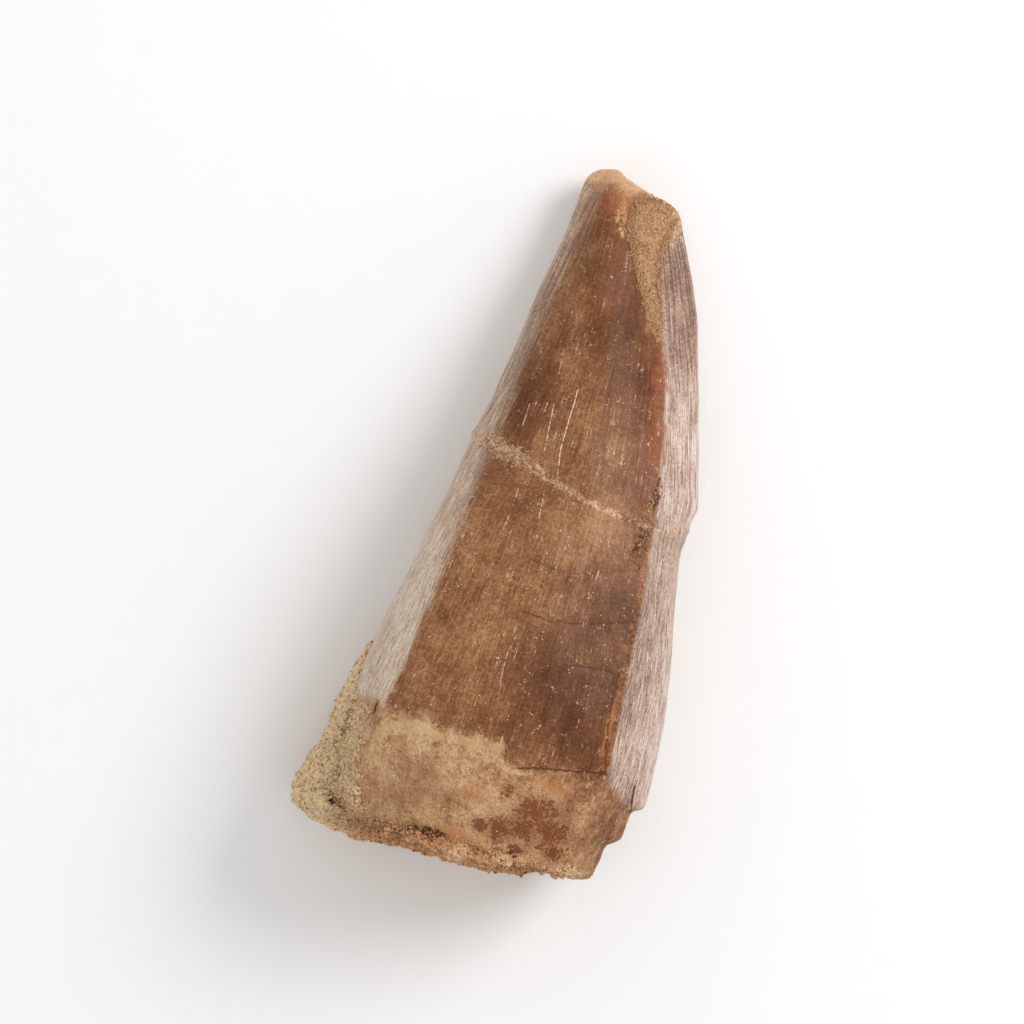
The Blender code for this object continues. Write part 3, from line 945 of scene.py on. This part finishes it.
        gap, force = self.mend.nearest(x, y)
        filling = np.exp(-(gap / self.mend_width) ** 2) * force * (0.3 + 0.7 * upper)
        filling += smooth_step(marked[Mark.SANDY] * upper, 0.4, 0.8)
        pits = smooth_step(marked[Mark.PIT] + 0.8 * noise_at(place, 0.6, 3, 2.2), 0.6, 1.0)
        height += (
            filling * (self.mend_rise + self.mend_rough * noise_at(place, 0.55, 3, 1.3))
            - self.pit_depth * pits * upper)

        nicks = np.exp(-((x - along(self.carina, y)) / self.nick_width) ** 2) * (1 - root) * upper
        chipped = np.clip(noise_at(place * (0.3, 1.0, 0.3), 0.7, 3, 4.4), 0, 1)
        height -= self.nick_depth * nicks * chipped
        height -= sum(
            self.crack_depth * np.exp(-(gap / self.crack_width) ** 2) * force * upper
            for gap, force in (crack.nearest(x, y) for crack in self.cracks))
        broken = smooth_step(y, 4.4, 2.4)
        height += broken * (self.broken_rough * noise_at(place, 1.1, 4, 9.2) - self.broken_sink)
        moved = points + normals_of(skin) * (height * MM)[:, None]
        moved[:, 2] = np.maximum(moved[:, 2], np.minimum(points[:, 2], self.clear_of_floor * MM))
        move(skin, moved)

    def add_marks(self, skin: Piece) -> None:
        """Store where each colour zone and line lies."""
        x, y, z = measures(corners(skin))
        upper = self.upper(y, z)
        gap, force = self.mend.nearest(x, y)
        marks = {
            Mark.FRONT: self.front_gap(x, y, z),
            Mark.CARINA: np.where(upper > 0.5, x - along(self.carina, y), FAR),
            Mark.ROOT: along(self.enamel_edge, x) - y,
            Mark.MEND: gap,
            Mark.MEND_FORCE: force * (0.6 + 0.4 * upper),
        }
        for mark, mark_force, streaks, reach in (
            (Mark.CRACK, Mark.CRACK_FORCE, self.cracks, 0.5),
            (Mark.SCRATCH, Mark.SCRATCH_FORCE, self.scratches, 0.35),
        ):
            nearest, full = np.full(len(x), FAR), np.zeros(len(x))
            for streak in streaks:
                gap, force = streak.nearest(x, y)
                closer = (np.abs(gap) < np.abs(nearest)) & (force > 0.0)
                nearest = np.where(closer, gap, nearest)
                full = np.where(closer & (np.abs(gap) < reach), force, full)
            marks[mark], marks[mark_force] = np.clip(nearest, -1.0, 1.0), full * upper
        marks |= {mark: strongest(patches, x, y) * upper for mark, patches in TOOTH_PATCHES.items()}
        marks[Mark.TIP] = np.maximum(marks[Mark.TIP], smooth_step(y, 59.4, 61.4))
        for mark, values in marks.items():
            carry(skin, mark, values)


def ovals(**rows: tuple[tuple[float, ...], ...]) -> dict[Mark, tuple[Patch, ...]]:
    """Patches under each mark, from rows of x, y, half width, half length and, if any, turn."""
    return {Mark[name]: tuple(Patch(*row) for row in patches) for name, patches in rows.items()}


TOOTH_PATCHES = ovals(
    BLOTCH=(
        (3.3, 8.2, 0.6, 0.6), (6.2, 7.2, 1.6, 1.2), (7.6, 5.8, 1.5, 1.4), (5.4, 5.4, 1.2, 1.0),
        (3.6, 4.9, 1.3, 1.1), (1.8, 5.0, 0.7, 0.6), (8.3, 4.2, 0.9, 0.8), (5.2, 3.6, 0.8, 0.5),
    ),
    CLOUD=(
        (-4.6, 7.2, 3.0, 2.2), (-6.2, 5.0, 1.6, 1.4), (7.2, 39.0, 1.0, 3.0), (0.5, 53.5, 1.4, 4.0),
        (-5.4, 34.4, 0.9, 1.4),
    ),
    # Darker patches: partly the tooth's own darker brown, partly painted shade, as beside the facet at
    # (-4.2, 39.5) and on the lamp-facing lower right front at (7.4, 17.5).
    DARK=(
        (2.0, 51.0, 2.4, 4.5, 15), (4.2, 44.5, 2.2, 3.0), (3.8, 16.5, 3.4, 4.5), (7.6, 13.8, 2.6, 2.8),
        (12.4, 8.0, 1.2, 3.2), (7.4, 17.5, 3.6, 8.0), (-4.2, 39.5, 1.4, 3.6, -8),
    ),
    OCHRE=(
        (0.4, 7.4, 1.0, 1.3), (10.1, 16.0, 0.35, 4.0), (0.0, 3.4, 3.0, 0.9), (4.6, 49.8, 0.5, 1.4),
        (7.0, 9.6, 1.7, 0.6), (0.2, 59.2, 1.6, 1.5),
    ),
    RUST=(
        (6.6, 45.0, 0.8, 2.6, 14), (7.7, 40.5, 0.8, 2.4, 12), (5.7, 48.3, 0.35, 1.4, 20),
        (-1.7, 59.2, 1.2, 1.5), (-4.0, 2.6, 4.5, 0.7), (5.0, 2.4, 4.5, 0.6),
    ),
    PALE=(
        (-5.0, 11.3, 3.6, 0.9), (-0.6, 11.4, 1.8, 0.8), (1.4, 11.2, 0.9, 1.2), (3.6, 10.0, 1.2, 0.25),
        (-8.3, 10.0, 0.8, 0.9),
    ),
    SANDY=(
        (-4.4, 35.9, 2.4, 0.9, -12), (-6.6, 36.4, 1.0, 0.8), (-1.4, 35.0, 1.2, 0.5, -20),
        (-10.9, 8.6, 1.4, 3.2), (-10.2, 4.8, 1.8, 2.0),
    ),
    PIT=(
        (8.6, 31.8, 0.8, 1.9), (8.2, 33.0, 0.9, 0.7), (8.9, 35.4, 0.5, 1.6), (-4.0, 2.8, 1.3, 0.7),
        (-2.2, 3.2, 1.2, 0.6), (4.6, 3.0, 1.0, 0.4), (-9.4, 12.0, 0.25, 0.8),
    ),
    BRIGHT=(
        (-3.0, 20.0, 4.0, 9.0), (3.0, 30.0, 3.0, 3.0), (1.0, 38.5, 2.6, 4.0),
    ),
    # Painted shade: patches that darken the sides, the lower right one where the side faces the lamp.
    SHADE=(
        (8.2, 51.5, 2.8, 5.5, 12), (5.6, 55.0, 2.2, 5.0, 15), (-3.0, 47.0, 2.8, 12.0, -8),
        (13.2, 9.5, 1.0, 3.0), (8.6, 20.0, 3.4, 12.0),
    ),
    TIP=(
        (0.0, 62.2, 4.8, 2.8, -10), (2.4, 59.2, 3.0, 2.2), (1.4, 57.2, 1.2, 1.0),
    ),
)


@dataclass(frozen=True)
class Drift:
    """A line along which loose grains gather in the hollows."""

    start: Pair
    end: Pair
    spread: float
    count: int
    radius: Pair
    roll: int = 2
    proud: float = 0.15


@dataclass
class GrainHeap:
    """Loose grains, small rough stones of 20 faces, gathered into one mesh."""

    chance: random.Random
    stone: Array = field(init=False)
    stone_faces: Array = field(init=False)
    shapes: list[Array] = field(default_factory=list)
    tones: list[float] = field(default_factory=list)

    def __post_init__(self) -> None:
        """Take the corners and faces of one stone of radius 1 from a small ball."""
        bpy.ops.object.select_all(action="DESELECT")
        bpy.ops.mesh.primitive_ico_sphere_add(subdivisions=1, radius=1.0)
        ball = bpy.context.active_object
        self.stone = corners(ball)
        self.stone_faces = np.array([list(face.vertices) for face in ball.data.polygons])
        bpy.data.objects.remove(ball)

    def add(self, middle: Vector, radius: float) -> None:
        """Put one grain at a place, squashed and turned by chance.

        Args:
            middle: its middle in metres.
            radius: its mean radius in metres.
        """
        spin = Vector([self.chance.gauss(0, 1) for _ in range(3)]).normalized()
        turn = np.array(Matrix.Rotation(self.chance.uniform(0, math.pi), 3, spin))
        squash = [self.chance.uniform(0.7, 1.25) for _ in range(3)]
        self.shapes.append((self.stone * squash * radius) @ turn.T + np.array(middle))
        self.tones.append(self.chance.random())

    def build(self, name: str) -> Piece:
        """Join all grains.

        Args:
            name: name of the piece.

        Returns:
            The piece.
        """
        count = len(self.stone)
        faces = [self.stone_faces + index * count for index in range(len(self.shapes))]
        mesh = bpy.data.meshes.new(name)
        mesh.from_pydata(np.concatenate(self.shapes).tolist(), [], np.concatenate(faces).tolist())
        mesh.shade_smooth()
        piece = bpy.data.objects.new(name, mesh)
        bpy.context.scene.collection.objects.link(piece)
        carry(piece, Mark.TONE, np.repeat(np.array(self.tones), count))
        return piece


@dataclass
class SandBody:
    """Packed sand: the solid remeshed finely and made rough, closed up against the tooth."""

    node: str
    name: str
    slot: str
    voxel: float
    lumps: tuple[Pair, ...]
    seam_reach: float
    seam_close: float
    grain_count: int
    grain_radius: Pair
    seed: int
    patches: dict[Mark, tuple[Patch, ...]]
    grain_sink: float = 0.35
    rim_lift: float = 0.0
    rim_draw: float = 0.0
    shrink: float = 0.0
    spill: float = 0.8
    steep: float = 0.1
    clear_of_floor: float = 0.2
    finish: SandFinish = SandFinish("sand")
    drifts: tuple[Drift, ...] = ()

    def build(self, tooth: Piece) -> tuple[Piece, Piece]:
        """Build and dress the packed sand and its loose grains.

        Args:
            tooth: finished skin of the tooth that the sand sticks to.

        Returns:
            The packed sand and the grains.
        """
        body = copy_of(self.node, self.name)
        apply(body, "REMESH", mode="VOXEL", voxel_size=self.voxel * MM)
        apply(body, "SMOOTH", factor=0.6, iterations=3)
        self.roughen(body)
        self.close_seam(body, tooth)
        grains = self.scatter(body, tooth)
        finish = self.finish.make()
        for piece in (body, grains):
            self.mark_sand(piece)
            piece.data.materials.append(finish)
            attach(piece, "root")
            report(piece)
        select(body)
        bpy.ops.object.shade_smooth()
        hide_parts(self.node)
        return body, grains

    def roughen(self, body: Piece) -> None:
        """Push the surface in and out by noise at each of the lump sizes, and lift its upper rim."""
        points = corners(body)
        height = np.full(len(points), -self.shrink)
        for index, (spacing, size) in enumerate(self.lumps):
            height += size * noise_at(points / MM, spacing, 2, 5.0 * index + self.seed)
        moved = points + normals_of(body) * (height * MM)[:, None]
        _, y, z = measures(points)
        moved[:, 2] += self.rim_lift * MM * smooth_step(y, 3.8, 2.2) * smooth_step(z, 10.0, 13.0)
        upper_rim = smooth_step(z, 11.0, 14.0) * smooth_step(y, 4.5, 3.2)
        moved[:, 1] += self.rim_draw * MM * np.maximum(upper_rim, smooth_step(y, 2.2, 0.8))
        moved[:, 2] = np.maximum(moved[:, 2], 0.0)
        move(body, moved)

    def close_seam(self, body: Piece, tooth: Piece) -> None:
        """Press the sand that faces the tooth onto its skin.

        Args:
            body: the packed sand.
            tooth: skin of the tooth.
        """
        tree = BVHTree.FromObject(tooth, bpy.context.evaluated_depsgraph_get())
        points = corners(body)
        reach = self.seam_reach * MM
        for index, point in enumerate(points):
            spot, normal, _, distance = tree.find_nearest(Vector(point), reach)
            if spot is not None:
                share = min(1.0, 2.0 - 2.0 * distance / reach)
                points[index] -= np.array(normal) * (distance + self.seam_close * MM) * share
        points[:, 2] = np.maximum(points[:, 2], 0.0)
        move(body, points)

    def scatter(self, body: Piece, tooth: Piece) -> Piece:
        """Set small rough stones on the sand wherever it is open to the air.

        Args:
            body: the packed sand.
            tooth: skin of the tooth.

        Returns:
            All grains as one mesh.
        """
        chance = random.Random(self.seed)
        heap = GrainHeap(chance)
        graph = bpy.context.evaluated_depsgraph_get()
        tree = BVHTree.FromObject(tooth, graph)
        faces = [face for face in body.data.polygons if face.center.z > self.clear_of_floor * MM]
        areas = np.cumsum([face.area for face in faces])
        for _ in range(self.grain_count):
            face = faces[int(np.searchsorted(areas, chance.random() * areas[-1]))]
            spot, outward = Vector(face.center), Vector(face.normal)
            radius = chance.uniform(*self.grain_radius) * MM
            if tree.find_nearest(spot, self.seam_reach * MM)[0] is not None:
                drifted = spot + Vector([chance.gauss(0, self.spill) for _ in range(3)]) * MM
                near, normal, *_ = tree.find_nearest(drifted)
                if (drifted - near).dot(normal) < radius or normal.z < self.steep:
                    spot, outward = near, normal
            heap.add(spot + outward * radius * (1 - 2 * self.grain_sink), radius)
        for drift in self.drifts:
            self.pour(heap, drift, [tree, BVHTree.FromObject(body, graph)])
        return heap.build(f"{self.name}_grains")

    @staticmethod
    def pour(heap: GrainHeap, drift: Drift, ground: list[BVHTree]) -> None:
        """Let grains fall along a line and settle in the lowest spot nearby.

        Args:
            heap: grains so far.
            drift: line and size of the fall.
            ground: surfaces that the grains land on.
        """
        cell = sum(drift.radius) / 2 * MM
        heights: dict[tuple[int, int], float] = {}

        def height(column: tuple[int, int]) -> float:
            """Height of the pile in one column, or NO_GROUND."""
            if column not in heights:
                above = Vector((column[0] * cell, column[1] * cell, NO_GROUND))
                hits = [tree.ray_cast(above, Vector((0, 0, -1)))[0] for tree in ground]
                heights[column] = max((hit.z for hit in hits if hit is not None), default=NO_GROUND)
            return heights[column]

        for _ in range(drift.count):
            share = heap.chance.random()
            x, y = (
                start + share * (end - start) + heap.chance.gauss(0, drift.spread)
                for start, end in zip(drift.start, drift.end))
            column = (round(x * MM / cell), round((y * MM + solid_box[0].y) / cell))
            steps = range(-drift.roll, drift.roll + 1)
            lowest = min(((column[0] + i, column[1] + j) for i in steps for j in steps), key=height)
            if max(height(lowest), height(column)) < NO_GROUND:
                radius = heap.chance.uniform(*drift.radius) * MM
                top = heights[lowest] + drift.proud * radius
                heap.add(Vector((lowest[0] * cell, lowest[1] * cell, top)), radius)
                heights[lowest] += radius

    def mark_sand(self, piece: Piece) -> None:
        """Store where the greenish and the rusty sand lies, and the tone of the packed sand."""
        x, y, z = measures(corners(piece))
        for mark, patches in self.patches.items():
            share = 0.4 + 0.6 * smooth_step(z, 6.0, 15.0) if mark is Mark.RUST else 1.0
            carry(piece, mark, strongest(patches, x, y) * share)
        if Mark.TONE.value not in piece.data.attributes:
            carry(piece, Mark.TONE, np.full(len(x), 0.5))


BASE_SAND = SandBody(
    node="base_matrix", name="base_sand", slot="matrix_sand", voxel=0.22,
    lumps=((3.2, 0.28), (1.1, 0.32), (0.45, 0.18)), seam_reach=0.95, seam_close=0.12,
    grain_count=6200, grain_radius=(0.08, 0.16), seed=11, rim_lift=1.4, rim_draw=0.6, shrink=0.22,
    spill=0.20, finish=SandFinish("matrix_sand"),
    drifts=(
        Drift((-10.6, 2.3), (10.6, 2.6), 0.36, 2600, (0.05, 0.11)),
        Drift((-10.5, 11.6), (-10.4, 6.4), 0.50, 640, (0.08, 0.15)),
        Drift((-10.4, 6.4), (-9.1, 3.4), 0.55, 500, (0.08, 0.15)),
    ),
    patches=ovals(
        CLOUD=((-10.8, 7.2, 1.7, 3.0, 5),),
        RUST=((-6.0, 1.6, 3.4, 2.0), (-2.4, 2.0, 3.0, 2.0), (2.6, 1.6, 2.6, 1.6), (6.6, 1.8, 2.2, 1.4)),
    ),
)
TIP_SAND = SandBody(
    node="tip_matrix", name="tip_sand", slot="tip_sand", voxel=0.11,
    lumps=((1.2, 0.12), (0.45, 0.08), (0.22, 0.05)), seam_reach=0.8, seam_close=0.06,
    grain_count=2200, grain_radius=(0.04, 0.09), seed=23, spill=0.35,
    drifts=(
        Drift((-6.2, 36.3), (-1.6, 35.2), 0.42, 420, (0.05, 0.10)),
        Drift((-1.6, 35.2), (3.0, 33.6), 0.14, 160, (0.04, 0.09)),
        Drift((3.0, 33.6), (9.0, 32.9), 0.16, 170, (0.04, 0.08)),
        Drift((8.7, 30.6), (8.5, 35.6), 0.25, 120, (0.05, 0.10)),
        Drift((0.2, 59.3), (1.7, 60.3), 0.20, 220, (0.04, 0.09)),
        Drift((1.7, 60.3), (3.9, 59.7), 0.20, 260, (0.04, 0.09)),
        Drift((0.2, 59.2), (1.6, 55.2), 0.24, 460, (0.04, 0.09)),
        Drift((1.6, 55.2), (4.0, 50.6), 0.20, 460, (0.04, 0.09)),
        Drift((4.2, 59.2), (3.6, 55.4), 0.22, 420, (0.04, 0.09)),
        Drift((3.6, 55.4), (5.1, 50.0), 0.20, 460, (0.04, 0.09)),
        Drift((4.8, 50.0), (5.6, 48.2), 0.24, 200, (0.04, 0.09)),
    ),
    finish=SandFinish(
        "tip_sand", tan=srgb(212, 166, 122), brown=srgb(178, 134, 98), cream=srgb(234, 202, 166),
        rust=srgb(204, 148, 100), rust_dark=srgb(176, 120, 80), rim=srgb(206, 160, 118),
        gap=srgb(158, 112, 76), grain=0.19),
    patches=ovals(CLOUD=(), RUST=((1.5, 59.5, 0.9, 0.9),)),
)


@dataclass
class Studio:
    """White floor, soft light from the upper right and the camera straight above."""

    floor_size: float = 3000.0
    lean: float = 15.3
    middle: Pair = (-2.63, 31.04)
    field: float = 88.14
    field_level: float = 7.0
    camera_height: float = 600.0
    sensor: float = 36.0
    clip: Pair = (0.01, 10.0)
    world_strength: float = 0.75
    key_strength: float = 0.52
    key_size: float = 260.0
    key_from: tuple[float, float, float] = (330.0, 170.0, 360.0)

    def build(self) -> None:
        """Lay the floor and set up the light and the camera."""
        self.lay_floor()
        self.light_world()
        self.hang_key()
        self.mount_camera()

    def lay_floor(self) -> None:
        """Large floor just under the tooth."""
        bpy.ops.object.select_all(action="DESELECT")
        bpy.ops.mesh.primitive_plane_add(size=self.floor_size * MM, location=(0, 0, 0))
        floor = bpy.context.active_object
        floor.name = "studio_floor"
        floor.data.materials.append(FloorFinish().make())

    def light_world(self) -> None:
        """Even white light from all round."""
        world = bpy.data.worlds.new("studio_world")
        world.use_nodes = True
        back = world.node_tree.nodes["Background"]
        back.inputs["Color"].default_value = (1.0,) * 4
        back.inputs["Strength"].default_value = self.world_strength
        bpy.context.scene.world = world

    def picture_axes(self) -> tuple[Vector, Vector]:
        """Directions on the floor that point right and up in the picture."""
        turn = Matrix.Rotation(math.radians(self.lean), 3, "Z")
        return turn @ Vector((1, 0, 0)), turn @ Vector((0, 1, 0))

    def hang_key(self) -> None:
        """Large soft lamp at the upper right, turned to the tooth."""
        right, up = self.picture_axes()
        across, rise, height = (part * MM for part in self.key_from)
        place = right * across + up * rise + Vector((0, 0, height))
        lamp = bpy.data.lights.new("key", "AREA")
        lamp.shape = "DISK"
        lamp.size = self.key_size * MM
        lamp.energy = self.key_strength * place.length_squared * math.pi ** 2
        key = bpy.data.objects.new("key", lamp)
        key.location = place
        key.rotation_euler = (-place).to_track_quat("-Z", "Y").to_euler()
        bpy.context.scene.collection.objects.link(key)

    def mount_camera(self) -> None:
        """Long lens straight above, turned so that the tip leans to the right in the picture."""
        data = bpy.data.cameras.new("camera")
        data.sensor_width = self.sensor
        data.lens = self.sensor * (self.camera_height - self.field_level) / self.field
        data.clip_start, data.clip_end = self.clip
        camera = bpy.data.objects.new("camera", data)
        x, y = self.middle
        camera.location = (x * MM, y * MM + solid_box[0].y, self.camera_height * MM)
        camera.rotation_euler = (0, 0, math.radians(self.lean))
        bpy.context.scene.collection.objects.link(camera)
        bpy.context.scene.camera = camera
        bpy.context.scene.view_settings.view_transform = "Standard"


def main() -> None:
    """Build the pieces in order, then the studio around them."""
    logging.basicConfig(level=logging.INFO, format="%(message)s")
    tooth = Tooth().build()
    BASE_SAND.build(tooth)
    TIP_SAND.build(tooth)
    Studio().build()


if __name__ == "__main__":
    main()
